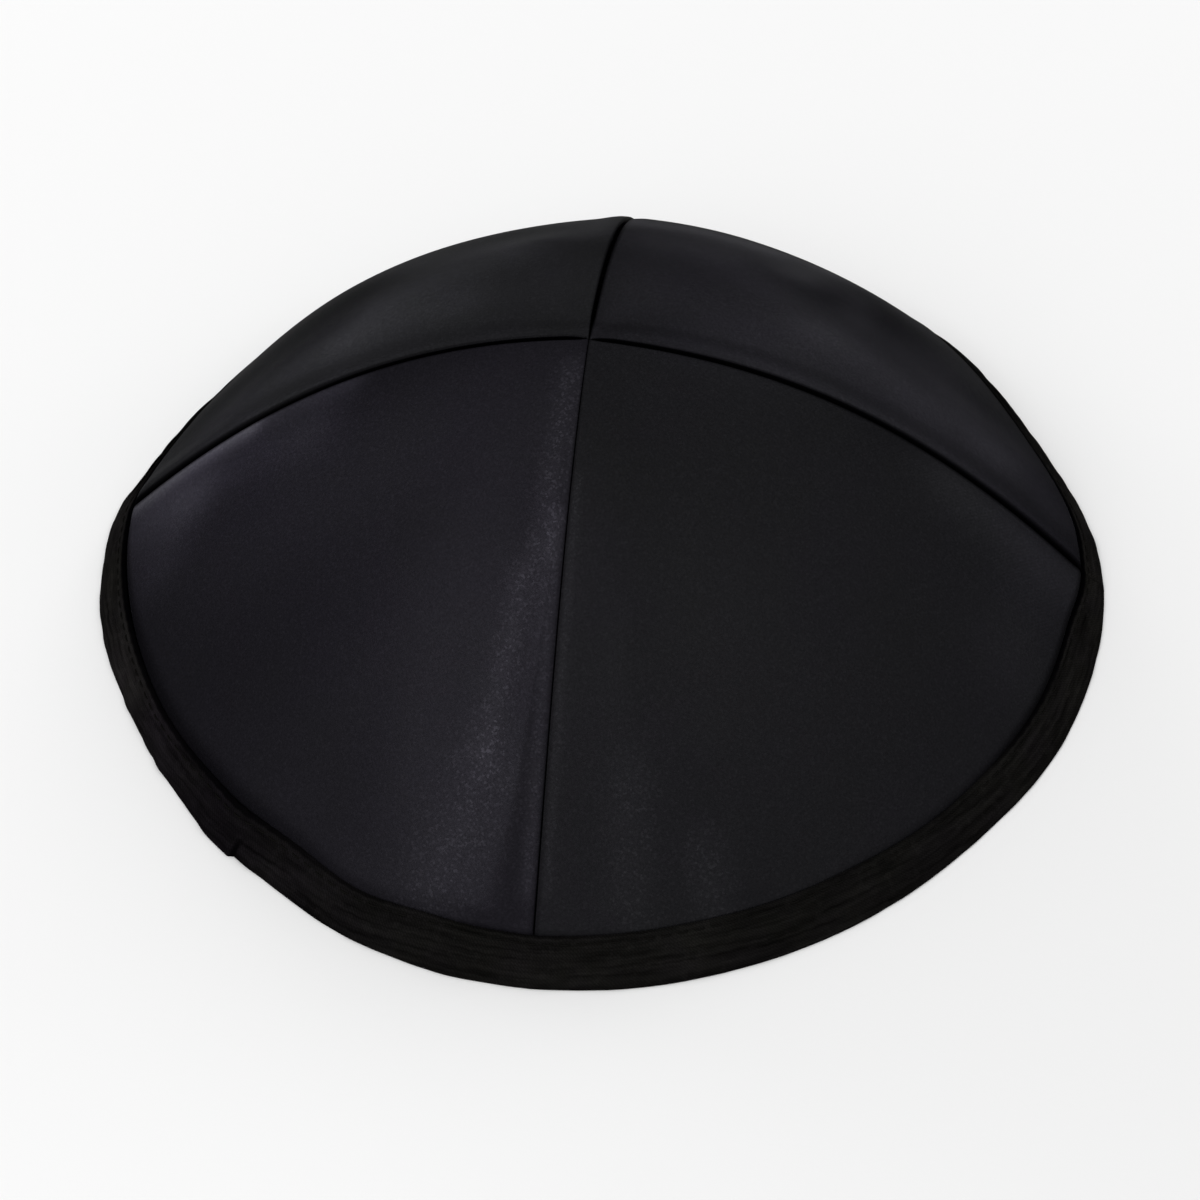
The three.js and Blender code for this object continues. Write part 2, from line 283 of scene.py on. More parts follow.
LAMPS = table(
    "name azimuth_deg elevation_deg watts",
    ("lamp_key", -45, 54, 1.9),
    ("lamp_front_left", -30, 32, 0.8),
    ("lamp_left", -120, 10, 1.7),
    ("lamp_back_left", -150, 10, 1.7),
    ("lamp_back_right", 150, 32, 1.4),
    ("lamp_right", 120, 10, 0.85),
    ("lamp_front_right", 60, 54, 0.8),
)
LAMP_DISTANCE = 0.9
LAMP_SIDE = 0.35
TENT_LIGHT = 0.64  # strength of the white studio all round
FLOOR_SIDE = 6.0


def length(name, description, default_mm):
    """A length that a user may change."""
    return bpy.props.FloatProperty(name=name, description=description, default=default_mm * MM, unit="LENGTH")


def colour(name, description, *default):
    """A colour that a user may change."""
    return bpy.props.FloatVectorProperty(name=name, description=description, default=default, subtype="COLOR")


class CapSizes(bpy.types.PropertyGroup):
    """Sizes of the crown's four panels."""

    crown_height: length("Crown height", "Height of the crown over the table", 51)
    wall: length("Panel wall", "Thickness of satin and interfacing together", 1.3)
    seam_gap: length("Seam gap", "Gap between two panels down in their seam", 0.06)
    over_radius: length("Upper edge radius", "Radius of the edge that lies over the seam allowances", 0.40)
    under_radius: length("Lower edge radius", "Radius of the edge that comes out from under a seam", 0.28)
    seam_drop: length("Seam drop", "How far a rolled edge goes straight down into its seam", 0.45)
    allowance: length("Seam allowance", "Width of the cloth that is pressed aside inside a seam", 6.5)
    allowance_height: length("Allowance height", "How far pressed allowances stand out inside the cap", 0.40)


class TapeSizes(bpy.types.PropertyGroup):
    """Sizes of the bias tape round the rim."""

    width: length("Tape width", "What shows of the tape, from the rim up the slope", 7.5)
    wall: length("Tape wall", "Thickness of the folded tape on each side", 1.0)
    clearance: length("Clearance", "Room between the tape and the panels' edges", 0.3)
    slot_floor: length("Fold height", "Height of the fold's inside over the table", 1.1)
    stitch_inset: length("Stitch inset", "How far the row of stitches runs below the tape's edge", 0.70)
    stitch_dent: length("Stitch dent", "How deep the stitches pull into the tape", 0.08)
    lap_height: length("Lap height", "Step where the tape's ends overlap", 0.45)
    scallop: length("Scallop", "How far the tape's edge is drawn down at each stitch", 0.08)


class StitchSizes(bpy.types.PropertyGroup):
    """Sizes of the sewing."""

    pitch: length("Stitch pitch", "Distance from one stitch to the next", 2.7)
    length: length("Stitch length", "Length of thread that shows", 2.0)
    radius: length("Thread radius", "Radius of the sewing thread", 0.13)
    seam_thread: length("Seam thread radius", "Radius of the thread in the seams", 0.08)


class ClothColours(bpy.types.PropertyGroup):
    """Colours of the cloth, the thread and the studio."""

    satin: colour("Satin, violet", "Near-black satin with a violet cast", 0.0118, 0.0110, 0.0141)
    satin_plain: colour("Satin, plain", "Near-black satin with hardly any cast", 0.0108, 0.0110, 0.0114)
    tape: colour("Tape", "Olive-black bias tape", 0.0061, 0.0060, 0.0051)
    tape_violet: colour("Tape, violet", "Tape where its cast turns violet", 0.0066, 0.0056, 0.0069)
    thread: colour("Thread", "Black sewing thread", 0.0066, 0.0063, 0.0058)
    floor: colour("Floor", "Pale floor", 0.84, 0.84, 0.84)


def ease(values, start=0, width=1):
    """A smooth step: 0 up to the start, 1 a width on, and three squares less two cubes between."""
    t = np.clip((values - start) / width, 0, 1)
    return t * t * (3 - 2 * t)


def unit(vectors):
    """Vectors scaled to a length of 1."""
    return vectors / np.maximum(np.linalg.norm(vectors, axis=-1, keepdims=True), 1e-12)


def running_length(points, axis):
    """How far each point lies from the first, measured from point to point along an axis."""
    steps = np.diff(points, axis=axis, prepend=np.take(points, [0], axis))
    return np.cumsum(np.linalg.norm(steps, axis=-1), axis)


def column(rows, name):
    """One column of a table as an array."""
    return np.array([getattr(row, name) for row in rows], float)


def in_degrees(azimuth):
    """An azimuth in degrees from 0 to 360."""
    return np.degrees(np.mod(azimuth, TAU))


def around(azimuth, rows, name):
    """A table's column between its azimuths, eased from row to row and going round once."""
    degrees = in_degrees(azimuth)
    stations = np.append(column(rows, "azimuth_deg"), 360 + rows[0].azimuth_deg)
    values = np.append(column(rows, name), getattr(rows[0], name))
    index = np.clip(np.searchsorted(stations, degrees, side="right") - 1, 0, len(rows) - 1)
    share = (degrees - stations[index]) / (stations[index + 1] - stations[index])
    return values[index] + (values[index + 1] - values[index]) * ease(share)


def outline(azimuth):
    """The rim's reach, and the fall's point and round shares, at an azimuth.

    From seam to seam each follows a smooth step. A sine arch over the gore takes its flat off the reach,
    and its square draws the two shares to the gore's own.
    """
    turn = np.mod(azimuth, TAU) / QUARTER
    gore = np.minimum(turn.astype(int), 3)
    across = turn - gore
    arch = np.clip(np.sin(np.pi * across), 0, 1)

    def from_seam_to_seam(name):
        values = column(SEAMS, name)
        return values[gore] + (values[(gore + 1) % 4] - values[gore]) * ease(across)

    reach = from_seam_to_seam("reach") - column(GORES, "flat")[gore] * arch**CORNER_SHARPNESS
    shares = []
    for name in ("point", "round"):
        seam_share = from_seam_to_seam(name)
        shares.append(seam_share + (column(GORES, name)[gore] - seam_share) * arch**2)
    return reach, *shares


def dome(sizes, azimuth, share):
    """The crown's smooth outer surface.

    share runs from 0 at the crown to 1 at the rim. The distance from the axis is reach times share, plus
    lean times its fourth power. The fall from the crown is point times share, plus round times its square,
    plus the rest times its fourth power. The left-right seam swings a little in azimuth, most at half its
    length, and both of its halves bend back, most a third of the way down.
    """
    reach, point, squared = outline(azimuth)
    fall = point * share + squared * share**2 + (1 - point - squared) * share**4
    swing = SEAM_BOW * np.cos(azimuth) ** 2 + SEAM_BACK * np.clip(1 - share, 0, 1) * np.cos(azimuth)
    turned = azimuth + swing * np.sin(np.pi * share)
    from_axis = reach * share + around(azimuth, EDGES, "lean") * share**4
    height = sizes.crown_height * (1 - fall)
    return np.stack([from_axis * np.cos(turned), from_axis * np.sin(turned), height], -1)


def dome_normal(sizes, azimuth, share):
    """The dome's outward normal, from differences over 3 degrees and 0.02 of the reach each way."""
    turn, step, flat_crown = math.radians(3), 0.02, 0.01
    round_it = dome(sizes, azimuth + turn, share) - dome(sizes, azimuth - turn, share)
    down = dome(sizes, azimuth, share + step) - dome(sizes, azimuth, share - step)
    normal = unit(np.cross(down, round_it))
    normal[np.broadcast_to(share < flat_crown, normal.shape[:-1])] = (0, 0, 1)
    return normal


def wall_point(sizes, azimuth, share, depth):
    """A point at a depth under the dome, along its normal."""
    return dome(sizes, azimuth, share) - depth[..., None] * dome_normal(sizes, azimuth, share)


def slope_length(sizes, azimuth):
    """Length down the slope for each unit of share, taken just above the rim."""
    high, low = 0.93, 0.99
    run = dome(sizes, azimuth, np.full_like(azimuth, low)) - dome(sizes, azimuth, np.full_like(azimuth, high))
    return np.linalg.norm(run, axis=-1) / (low - high)


def tape_width(tape, azimuth):
    """How much of the tape shows up the slope at an azimuth."""
    return tape.width + around(azimuth, EDGES, "wider")


def edge_point(sizes, azimuth, height, depth):
    """A point at a depth under the dome and at a height over the table, found by five secant steps."""
    step, rounds = 0.02, 5
    share = np.ones_like(azimuth)
    for _ in range(rounds):
        here = wall_point(sizes, azimuth, share, depth)[..., 2]
        slope = (wall_point(sizes, azimuth, share + step, depth)[..., 2] - here) / step
        share = share + (height - here) / slope
    return wall_point(sizes, azimuth, share, depth)


def surface_mesh(name, points, uv, wrap_rows=False, **marks):
    """A mesh object from one grid of points or from many, four to a face, with a UV map in metres.

    Its columns close on themselves, and its rows may. Each mark is an attribute with a value from 0 to 1 at
    each point. Points that coincide are merged, so that poles and pinched rows close up, and the normals
    are then turned outwards.
    """
    rows, columns = points.shape[-3:-1]
    row, col = np.meshgrid(np.arange(rows if wrap_rows else rows - 1), np.arange(columns), indexing="ij")
    below, beside = (row + 1) % rows, (col + 1) % columns
    corners = ((row, col), (row, beside), (below, beside), (below, col))
    one = np.stack([r * columns + c for r, c in corners], -1).reshape(-1, 4)
    grids = points.size // (rows * columns * 3)
    index = (one + np.arange(grids)[:, None, None] * rows * columns).reshape(-1, 4)
    mesh = bpy.data.meshes.new(name)
    mesh.from_pydata(points.reshape(-1, 3), [], index)
    layer = mesh.uv_layers.new(name="cloth")
    layer.data.foreach_set("uv", uv.reshape(-1, 2)[index.ravel()].astype(np.float32).ravel())
    for mark, values in marks.items():
        attribute = mesh.attributes.new(mark, "FLOAT", "POINT")
        attribute.data.foreach_set("value", values.astype(np.float32).ravel())
    made = bmesh.new()
    made.from_mesh(mesh)
    bmesh.ops.remove_doubles(made, verts=made.verts, dist=1e-7)
    bmesh.ops.recalc_face_normals(made, faces=made.faces)
    made.to_mesh(mesh)
    made.free()
    mesh.shade_smooth()
    piece = bpy.data.objects.new(name, mesh)
    bpy.context.scene.collection.objects.link(piece)
    return piece


def graded(count, whole, first_share):
    """Distances from 0 to the whole whose steps grow evenly; the first is first_share of an even one."""
    t = np.linspace(0, 1, count + 1)
    return whole * (first_share * t + (1 - first_share) * t * t)


def seam_distances(gore, azimuth, from_axis):
    """A gore's first and last seam, and the distance to each along a circle about the axis."""
    return {
        gore: (azimuth - gore * QUARTER) * from_axis,
        (gore + 1) % 4: ((gore + 1) * QUARTER - azimuth) * from_axis,
    }


def groove_half(sizes, seam, from_axis):
    """Half the width of a seam's open line: the seam gap where it is shut, easing open down the slope."""
    row = SEAMS[seam]
    opened = ease(from_axis, row.shut_until, row.open_from - row.shut_until)
    grown = ease(from_axis / row.reach, GROOVE_GROWS_FROM, 1 - GROOVE_GROWS_FROM)
    groove = row.groove + (row.rim_groove - row.groove) * grown
    return (sizes.seam_gap + (groove - sizes.seam_gap) * opened) / 2


def edge_distances(sizes, gore, azimuth, from_axis):
    """A gore's first and last seam, and the distance to its rolled edge at each."""
    distances = seam_distances(gore, azimuth, from_axis)
    return {seam: away - groove_half(sizes, seam, from_axis) for seam, away in distances.items()}


def row_for(rows, gore, seam):
    """A table's row for a gore at one of its seams, or None. A gore without a ridge lies under the other."""
    return next((row for row in rows if (row.gore, row.seam) == (GORES[gore].name, SEAMS[seam].name)), None)


def ridge_height(row, distance, share, from_axis):
    """A ridge's height at a distance from its seam.

    It rises over a smooth step from the seam's own step to its peak and falls over another to its reach.
    Both distances grow with the cube of the share down the slope, and all of it fades out at the crown.
    """
    grown = share**3
    peak = row.crown_peak + (row.rim_peak - row.crown_peak) * grown
    reach = row.crown_reach + (row.rim_reach - row.crown_reach) * grown
    up = row.step + (row.height - row.step) * ease(distance / peak)
    return up * (1 - ease(distance, peak, reach - peak)) * ease(from_axis / row.rise)


def swell_height(row, points):
    """A swell's height: a Gaussian of the distance seen from above to its straight crest."""
    run = row.end - row.start
    along = np.clip(((points[..., :2] - row.start) @ run) / (run @ run), 0, 1)
    away = np.linalg.norm(points[..., :2] - row.start - along[..., None] * run, axis=-1)
    return row.height * np.exp(-((away / row.width) ** 2))


def dip_depth(row, distance, from_axis):
    """A dip's depth: the square of what is left of its width, times a smooth step down the slope."""
    left = np.clip(1 - distance / row.width, 0, 1)
    return row.depth * left**2 * (DIP_AT_CROWN + (1 - DIP_AT_CROWN) * ease(from_axis / DIP_RISE))


def gore_relief(sizes, tape, gore, azimuth, share, from_axis):
    """How far a gore's satin stands out from the dome, and how far its edges roll down into the seams.

    Ridges and swells stand up, dips towards the seams lie lower, and all of them fade out at the tape. Each
    edge rolls down into its seam in a quarter circle.
    """
    above = (1 - share) * slope_length(sizes, azimuth) - tape_width(tape, azimuth)
    points = dome(sizes, azimuth, share)
    swells = [swell_height(row, points) for row in SWELLS if row.gore == GORES[gore].name]
    relief = sum(swells, np.zeros_like(azimuth))
    distances = edge_distances(sizes, gore, azimuth, from_axis)
    for distance in distances.values():
        relief *= ease(distance / SWELL_FADE)
    rolls = np.zeros_like(azimuth)
    for seam, distance in distances.items():
        ridge, dip = row_for(RIDGES, gore, seam), row_for(DIPS, gore, seam)
        if ridge:
            relief += ridge_height(ridge, distance, share, from_axis)
        if dip:
            relief -= dip_depth(dip, distance, from_axis)
        radius = SEAMS[seam].roll * (sizes.over_radius if ridge else sizes.under_radius)
        inward = np.clip(1 - distance / radius, 0, 1)
        rolls += radius * (1 - np.sqrt(1 - inward**2))
    return relief * ease(above / RIM_FADE), rolls


def allowance_depth(sizes, gore, azimuth, from_axis):
    """How far the pressed seam allowances stand out from a gore's back: flat bands with a soft outer edge."""
    edge, tip = 0.6 * MM, 5 * MM
    bands = [
        1 - ease(away, sizes.allowance, edge)
        for seam, away in seam_distances(gore, azimuth, from_axis).items()
        if row_for(RIDGES, gore, seam)
    ]
    return sizes.allowance_height * np.max([np.zeros_like(azimuth), *bands], axis=0) * ease(from_axis / tip)


def above_gap(sizes, tape, azimuth, share):
    """The way up the slope from the open gap beside the tape's edge."""
    up = (1 - share) * slope_length(sizes, azimuth)
    return up - tape_width(tape, azimuth) - around(azimuth, EDGES, "gap")


def valley_depth(sizes, tape, azimuth, share):
    """How far the satin lies under the dome near the tape.

    Past the open gap beside the tape's edge it comes up out of the slot in a quarter of an ellipse.
    """
    inward = np.clip(1 - above_gap(sizes, tape, azimuth, share) / around(azimuth, EDGES, "rounding"), 0, 1)
    return (tape.wall + tape.clearance) * (1 - np.sqrt(1 - inward**2))


def gore_marks(sizes, tape, gore, azimuth, share, from_axis, valley, rolls):
    """What a gore's satin face is marked with, each from 0 to 1.

    It has painted shade in the valley at the tape, where its edges roll down, and beside both, and the
    tape's painted shadow above the gap. It has painted highlights along the table's marks, part of them as
    painted glitter, and has its side's cast.
    """
    first = np.arange(azimuth.shape[1]) < azimuth.shape[1] / 2
    distances = edge_distances(sizes, gore, azimuth, from_axis)
    widths = [SEAMS[seam].over if row_for(RIDGES, gore, seam) else SEAMS[seam].under for seam in distances]
    width = np.where(first, *widths) * (SHADE_AT_CROWN + (1 - SHADE_AT_CROWN) * share)
    beside_seam = np.clip(1 - np.where(first, *distances.values()) / width, 0, 1)
    dark = np.where(first, *(SEAMS[seam].dark for seam in distances))
    at_seam = dark * np.maximum(ease(rolls, *SEAM_SHADE), beside_seam)
    at_tape = around(azimuth, EDGES, "dark") * ease(valley, *VALLEY_SHADE)
    up = above_gap(sizes, tape, azimuth, share) / around(azimuth, TONES, "reach")
    shade = around(azimuth, TONES, "shade") * (1 - ease(up, SHADE_FULL_TO, 1 - SHADE_FULL_TO))
    plan = dome(sizes, azimuth, share)
    rows = [row for row in PAINTED_HIGHLIGHTS if row.gore == GORES[gore].name]
    shines = [swell_height(row, plan) / PAINTED_HIGHLIGHT_FULL for row in rows]
    return {
        "crevice": np.maximum.reduce([at_seam, at_tape, shade]),
        "shine": sum(shines),
        "glitter": sum(row.glitter * shine for row, shine in zip(rows, shines)),
        "violet": GORES[gore].violet * (1 - WHITENS * np.clip(sum(shines), 0, 1)),
    }


def make_gore(sizes, tape, gore):
    """One gore as a closed cloth body: its satin face, and its back a wall's thickness below.

    Rows run from the crown to an edge inside the tape's slot, closest together where the satin meets the
    tape. Columns run from seam to seam, close together near the seams, and the outermost go straight down
    into them. The front and back meet at the crown and at the lower edge.
    """
    middle = np.array((gore + 0.5) * QUARTER)
    reach, slope = float(outline(middle)[0]), float(slope_length(sizes, middle))
    at_tape, tip = 1 - tape.width / slope, sizes.seam_gap / reach
    over_tape = np.concatenate([np.linspace(*row) for row in ROWS_AT_TAPE])
    near_tape = at_tape - over_tape / slope
    crown_rows = graded(CROWN_ROWS, near_tape[0] - tip, first_share=0.45) + tip
    steps = np.concatenate([crown_rows, near_tape[1:]])[:, None]
    from_axis = steps * reach
    half = graded(HALF_COLUMNS, 0.5, first_share=0.13)
    across = np.concatenate([[0], half, 1 - half[-2::-1], [1]])
    drop = np.zeros_like(across)
    drop[[0, -1]] = sizes.seam_drop
    layers = []
    for is_face in (True, False):
        widths = [groove_half(sizes, seam, from_axis) for seam in (gore, (gore + 1) % 4)]
        if not is_face:
            widths = [np.full_like(from_axis, sizes.seam_gap / 2)] * 2
        first, last = (np.arcsin(np.clip(width / from_axis, 0, WIDEST_TURN)) for width in widths)
        azimuth = gore * QUARTER + first + across * (QUARTER - first - last)
        stretch = (1 - tape_width(tape, azimuth) / slope_length(sizes, azimuth)) / at_tape
        share = steps * (1 + (stretch - 1) * (steps / at_tape) ** 2)
        radius = from_axis * np.ones_like(azimuth)
        depth = valley_depth(sizes, tape, azimuth, share)
        if is_face:
            relief, rolls = gore_relief(sizes, tape, gore, azimuth, share, radius)
            marks = gore_marks(sizes, tape, gore, azimuth, share, radius, depth, rolls)
            depth = depth - relief + rolls + drop
        else:
            depth = depth + sizes.wall + allowance_depth(sizes, gore, azimuth, radius)
        flat_map = np.stack([(azimuth - middle) * radius, share * slope_length(sizes, azimuth)], -1)
        layers.append((wall_point(sizes, azimuth, share, depth), flat_map))
    (face, face_map), (back, back_map) = layers
    face[0] = back[0] = face[0].mean(0)
    face[-1] = back[-1] = (face[-1] + back[-1]) / 2
    points = np.concatenate([face, back[:, ::-1]], 1)
    uv = np.concatenate([face_map, back_map[:, ::-1]], 1)
    bare = np.zeros_like(azimuth)
    marks = {name: np.concatenate([mark, bare], 1) for name, mark in marks.items()}
    marks["cloth_back"] = np.concatenate([bare, bare + 1], 1)
    return surface_mesh(f"panel_{GORES[gore].name}_satin", points, uv, **marks)


def smooth_loop(values, between):
    """A closed Catmull-Rom curve through values along the last axis, with points added between them."""
    t = np.arange(between) / between
    before, here, ahead, beyond = (np.roll(values, shift, -1)[..., None] for shift in (1, 0, -1, -2))
    made = 0.5 * (
        2 * here + (ahead - before) * t + (2 * before - 5 * here + 4 * ahead - beyond) * t**2
        + (3 * here - before - 3 * ahead + beyond) * t**3
    )
    return made.reshape(*values.shape[:-1], -1)


def stitch_table(sizes, stitches):
    """Azimuths round the rim, the number of stitches from +X to each, and the pitch that closes the row."""
    azimuth = np.radians(np.linspace(0, 360, 4 * 360 + 1))
    run = running_length(dome(sizes, azimuth, np.ones_like(azimuth)), 0)
    pitch = run[-1] / round(run[-1] / stitches.pitch)
    return azimuth, run / pitch, pitch


def tape_top(sizes, tape, azimuth):
    """Height of the tape's upper edge over the table."""
    return dome(sizes, azimuth, 1 - tape_width(tape, azimuth) / slope_length(sizes, azimuth))[..., 2]


def bound_edge(sizes, tape):
    """The whole thickness of the rim: the panel's wall with the tape on both sides."""
    return 2 * (tape.wall + tape.clearance) + sizes.wall


def dent_depth(tape, drawn):
    """How deep the stitches pull into the tape: fully at the needle holes, and about half between them."""
    between = 0.55
    return tape.stitch_dent * (between + (1 - between) * drawn)


def tape_profile(sizes, tape, azimuth, drawn):
    """The tape's section at each azimuth, as heights over the table and depths under the dome.

    A closed curve goes down the outer face from its rolled edge past a stitched dent, over the fold on the
    table, up the inner face, and round the slot that holds the panels. drawn is 1 at the needle holes and 0
    half way between, and there the edge comes down and the dent is deepest.
    """
    tops = tape_top(sizes, tape, azimuth) - tape.scallop * drawn
    top, sunk, dent = tops / MM, around(azimuth, EDGES, "sunk") / MM, dent_depth(tape, drawn) / MM
    wall, floor, bound = tape.wall / MM, tape.slot_floor / MM, bound_edge(sizes, tape) / MM
    far = bound - wall
    rows_mm = (
        (top - 0.06, 0.72 * wall),
        (top - 0.02, sunk + 0.34),
        (top - 0.30, sunk),
        (top - tape.stitch_inset / MM, sunk + dent),
        (top - 1.50, 0.6 * sunk - 0.02),
        (0.58 * top, 0.2 * sunk - 0.15),
        (0.34 * top, -0.16),
        (0.95, -0.04),
        (0.28, 0.10),
        (0, 0.62),
        (0, 0.56 * bound),
        (0.32, 0.80 * bound),
        (floor, 0.97 * bound),
        (0.5 * top, 1.01 * bound),
        (top - 0.8, 0.99 * bound),
        (top - 0.15, bound - 0.15),
        (top, bound - 0.55),
        (top - 0.25, far + 0.04),
        (0.5 * top, far),
        (floor + 0.35, far - 0.02),
        (floor, far - 0.4),
        (floor, wall + 0.4),
        (floor + 0.35, wall + 0.02),
        (0.5 * top, wall),
        (top - 0.55, wall),
    )
    between, seen_rows = 4, 10
    heights, depths = (
        smooth_loop(np.stack([np.broadcast_to(row[part], top.shape) for row in rows_mm], -1), between) * MM
        for part in (0, 1)
    )
    kept = np.r_[0 : seen_rows * between, seen_rows * between : len(rows_mm) * between : between - 1]
    return np.maximum(heights, 0)[:, kept], depths[:, kept], tops


def stands_out(tape, azimuth, height, top):
    """How far the tape stands out at its lap and in its puckers.

    The lap's step rises softly and drops sharply, and is fullest on the lower half of the face. The puckers
    are slanting pillows between creases, which fade out at the fold: each wave is the absolute value of a
    sine, rounded in its creases.
    """
    degrees = in_degrees(azimuth)
    step = ease(degrees, *LAP_RISE_DEG) * (1 - ease(degrees, *LAP_DROP_DEG))
    lap = tape.lap_height * step * (1 - LAP_LOSES * ease(height / top, *LAP_FADE))
    along = azimuth * column(SEAMS, "reach").mean()
    down = (top - height) / np.maximum(top, 1e-6)
    turns = [math.pi * (along / row.length - row.slant * down) + row.phase for row in PUCKERS]
    pillows = [2 * np.sqrt(np.sin(turn) ** 2 + CREASE_SOFTNESS) - 1 for turn in turns]
    waves = sum(row.share * pillow for row, pillow in zip(PUCKERS, pillows))
    window = ease(down, PUCKER_START, PUCKER_FADE) * ease((PUCKER_END - down) / PUCKER_FADE)
    return lap + around(azimuth, EDGES, "pucker") * waves * window


def lap_shadow(azimuth, height, top):
    """The painted shadow line under the sharp side of the tape's lap, on the lower half of its face."""
    dark, edge_deg, after_deg = 0.85, 0.3, 0.2
    degrees, (start, width) = in_degrees(azimuth), LAP_DROP_DEG
    line = ease(degrees, start + after_deg, edge_deg) * (1 - ease(degrees, start + width, edge_deg))
    return dark * line * (1 - ease(height / top, 0.4, 0.2))


def make_tape(sizes, tape, stitches):
    """The bias tape: its section carried once round the rim, puckered, with the step where its ends lap."""
    even = np.linspace(0, TAU, TAPE_STATIONS, endpoint=False)
    lap = np.radians(np.linspace(LAP_DROP_DEG[0] - 0.3, sum(LAP_DROP_DEG) + 0.6, LAP_STATIONS))
    azimuth = np.sort(np.concatenate([even[(even < lap[0]) | (even > lap[-1])], lap]))
    rim_azimuth, turns, _ = stitch_table(sizes, stitches)
    drawn = 0.5 + 0.5 * np.cos(TAU * np.interp(azimuth, rim_azimuth, turns))
    heights, depths, top = tape_profile(sizes, tape, azimuth, drawn)
    azimuths = np.repeat(azimuth[:, None], heights.shape[1], 1)
    tops = np.repeat(top[:, None], heights.shape[1], 1)
    outer = 1 - ease(depths, *OUTER_FACE)
    points = edge_point(sizes, azimuths, heights, depths - outer * stands_out(tape, azimuths, heights, tops))
    uv = np.stack([azimuths * column(SEAMS, "reach").mean(), running_length(points, 1)], -1)
    # painted shade over the tape's rolled edge, and in the line under its lap
    rolled = (heights > tops - EDGE_ROLL) * ease(depths - around(azimuths, EDGES, "sunk"), *TAPE_SHADE)
    at_edge = rolled * around(azimuths, EDGES, "dark")
    marks = {
        "crevice": np.maximum(at_edge, outer * lap_shadow(azimuths, heights, tops)),
        # painted light and shade round the rim
        "light": around(azimuths, TONES, "tape") / TONE_FULL,
        "violet": around(azimuths, TONES, "violet"),
    }
    return surface_mesh("rim_binding_tape", points, uv, wrap_rows=True, **marks)


def make_threads(name, paths, radius):
    """Short threads as one mesh: a round tube along each path, thin at both ends and shut there.

    Each ring stands across its path. Its radius follows the square root of 1 less the sixth power of the
    way to the nearer end, so that it stays full and then closes.
    """
    never_along = np.array([0.13, 0.21, 0.97])
    along = unit(np.gradient(paths, axis=1))
    side = unit(np.cross(along, never_along))
    over = np.cross(side, along)
    angle = np.linspace(0, TAU, STITCH_SIDES, endpoint=False)
    ring = side[..., None, :] * np.cos(angle)[:, None] + over[..., None, :] * np.sin(angle)[:, None]
    swelled = radius * (1 - np.linspace(-1, 1, paths.shape[1]) ** 6) ** 0.5
    points = paths[..., None, :] + ring * swelled[:, None, None]
    uv = np.stack(np.broadcast_arrays(running_length(paths, 1)[..., None], angle * radius), -1)
    return surface_mesh(name, points, uv)


def rim_stitches(sizes, tape, stitches):
    """The stitches that hold the tape: one row on its outer face, and the same row on its inner face.

    Each is a flat arch that comes up out of the cloth, lies on it and goes down again, half a pitch from
    the needle holes at each end. Its lift over the cloth falls off with the fourth power of the way to its
    ends.
    """
    rim_azimuth, turns, pitch = stitch_table(sizes, stitches)
    rings, middle_lift, end_drop = 9, 0.55, 1.7
    t = np.linspace(-1, 1, rings)
    places = (np.arange(round(turns[-1])) + 0.5)[:, None] + t * stitches.length / 2 / pitch
    azimuth = np.interp(places, turns, rim_azimuth)
    top = tape_top(sizes, tape, azimuth)
    height = top - tape.stitch_inset
    lift = stitches.radius * (middle_lift - end_drop * t**4)
    depth = around(azimuth, EDGES, "sunk") + dent_depth(tape, t**2) - stands_out(tape, azimuth, height, top)
    outer = edge_point(sizes, azimuth, height, depth - lift)
    inner = edge_point(sizes, azimuth, height, np.full_like(height, bound_edge(sizes, tape)) + lift)
    return make_threads("rim_binding_stitches", np.concatenate([outer, inner]), stitches.radius)


def seam_threads(sizes, tape, stitches):
    """The stitches down in each seam: short threads from one rolled edge across to the other.

    They stand a pitch apart from the first open part of the seam to the tape, at the depth where both edges
    have turned straight down. Each is straight and runs a little way into both edges.
    """
    rings, over_tape, into_edge, deep = 5, 1.5 * MM, 0.10 * MM, 0.35 * MM
    paths = []
    for seam, row in enumerate(SEAMS):
        azimuth = np.array(seam * QUARTER)
        first = (row.open_from + stitches.pitch) / row.reach
        last = 1 - (tape_width(tape, azimuth) + over_tape) / slope_length(sizes, azimuth)
        share = np.linspace(first, last, int((last - first) * row.reach / stitches.pitch))[:, None]
        from_axis = share * row.reach
        across = np.linspace(-1, 1, rings) * (groove_half(sizes, seam, from_axis) + into_edge)
        turned = azimuth + np.arcsin(across / from_axis)
        depth = np.full_like(turned, sizes.over_radius + stitches.seam_thread + deep)
        paths.append(wall_point(sizes, turned, share * np.ones_like(turned), depth))
    return make_threads("seam_stitches", np.concatenate(paths), stitches.seam_thread)


def fill(tree, node, inputs):
    """Sets a node's sockets to values, or links them to other sockets."""
    for name, value in inputs.items():
        if isinstance(value, bpy.types.NodeSocket):
            tree.links.new(value, node.inputs[name])
        else:
            node.inputs[name].default_value = value


def add_node(tree, kind, inputs=None, **settings):
    """A new node's outputs, its settings made and its sockets filled or linked."""
    node = tree.nodes.new(kind)
    for name, value in settings.items():
        setattr(node, name, value)
    fill(tree, node, inputs or {})
    return node.outputs


def maths(tree, operation, *values):
    """A Math node's result."""
    return add_node(tree, "ShaderNodeMath", dict(enumerate(values)), operation=operation)[0]


def noise(tree, vector, scale, detail, roughness=0.5):
    """A Noise Texture's value."""
    inputs = {"Vector": vector, "Scale": scale, "Detail": detail, "Roughness": roughness}
    return add_node(tree, "ShaderNodeTexNoise", inputs)["Fac"]


def map_range(tree, value, **limits):
    """A Map Range node's result, with from_min, from_max, to_min and to_max as they are given."""
    sockets = {name.replace("_", " ").title(): limit for name, limit in limits.items()}
    return add_node(tree, "ShaderNodeMapRange", {"Value": value, **sockets})[0]


